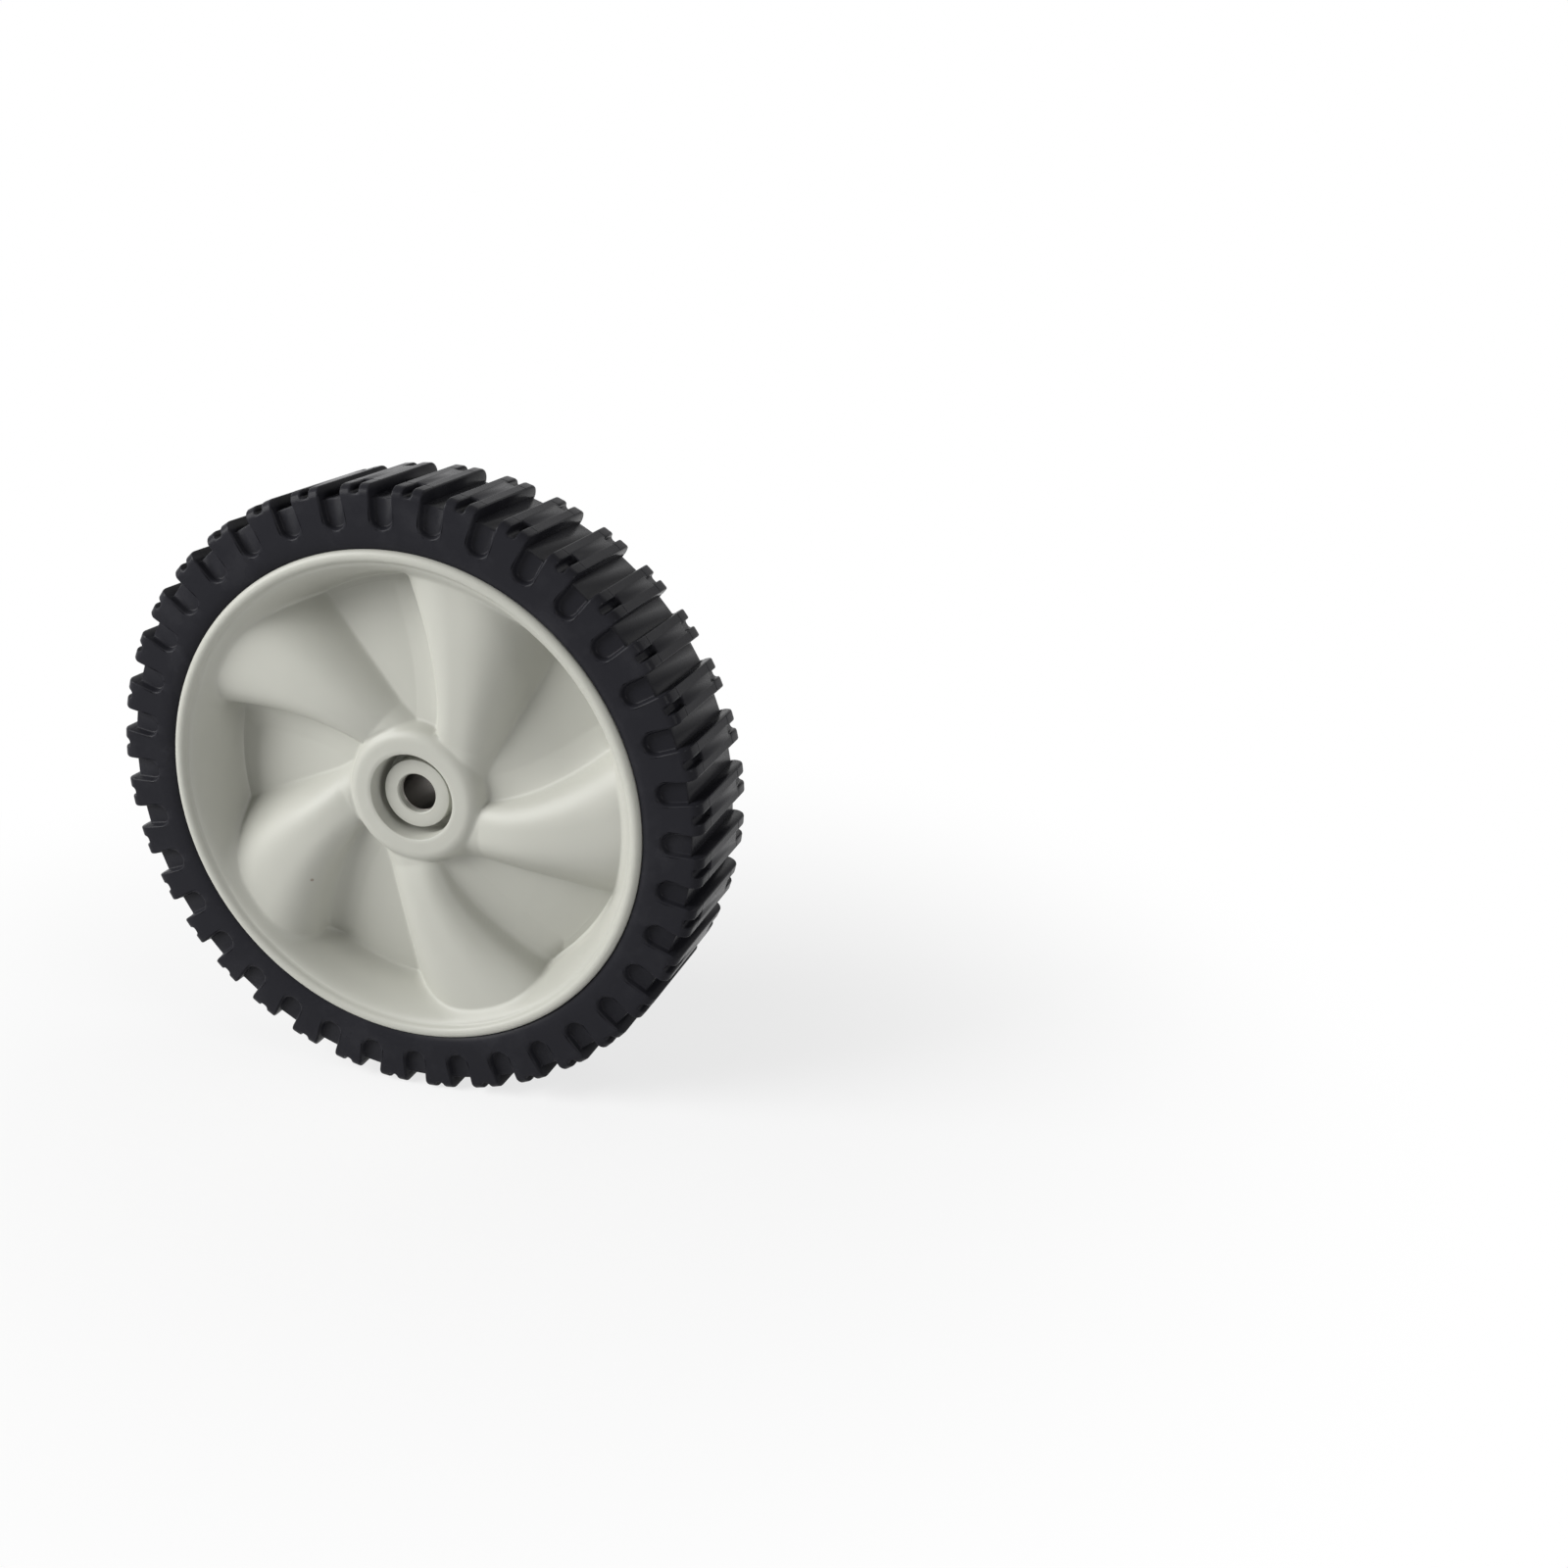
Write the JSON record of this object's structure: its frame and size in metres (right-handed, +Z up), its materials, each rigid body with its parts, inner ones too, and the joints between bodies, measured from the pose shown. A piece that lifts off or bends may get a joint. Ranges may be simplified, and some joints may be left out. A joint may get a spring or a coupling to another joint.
{
  "type": "lawn mower wheel",
  "caption": "Lawn mower wheel with a black lugged tyre, a dished grey plastic body with swirling spokes, a steel sleeve bush and an internal drive gear.",
  "frame": {"origin": "centre of the wheel on the axle bore's axis, half way between the two bead planes", "axes": "+Y along the axle towards the mower (rear, gear side), -Y out of the spoked face, +Z up"},
  "size_m": [0.2032, 0.0463, 0.2032],
  "materials": {
    "tyre": "semi-gloss moulded",
    "plastic": "satin moulded",
    "steel": "bright"
  },
  "bodies": {
    "root": {"tyre": "tyre", "wheel_body": "plastic", "sleeve_bush": "steel"}
  },
  "joints": []
}
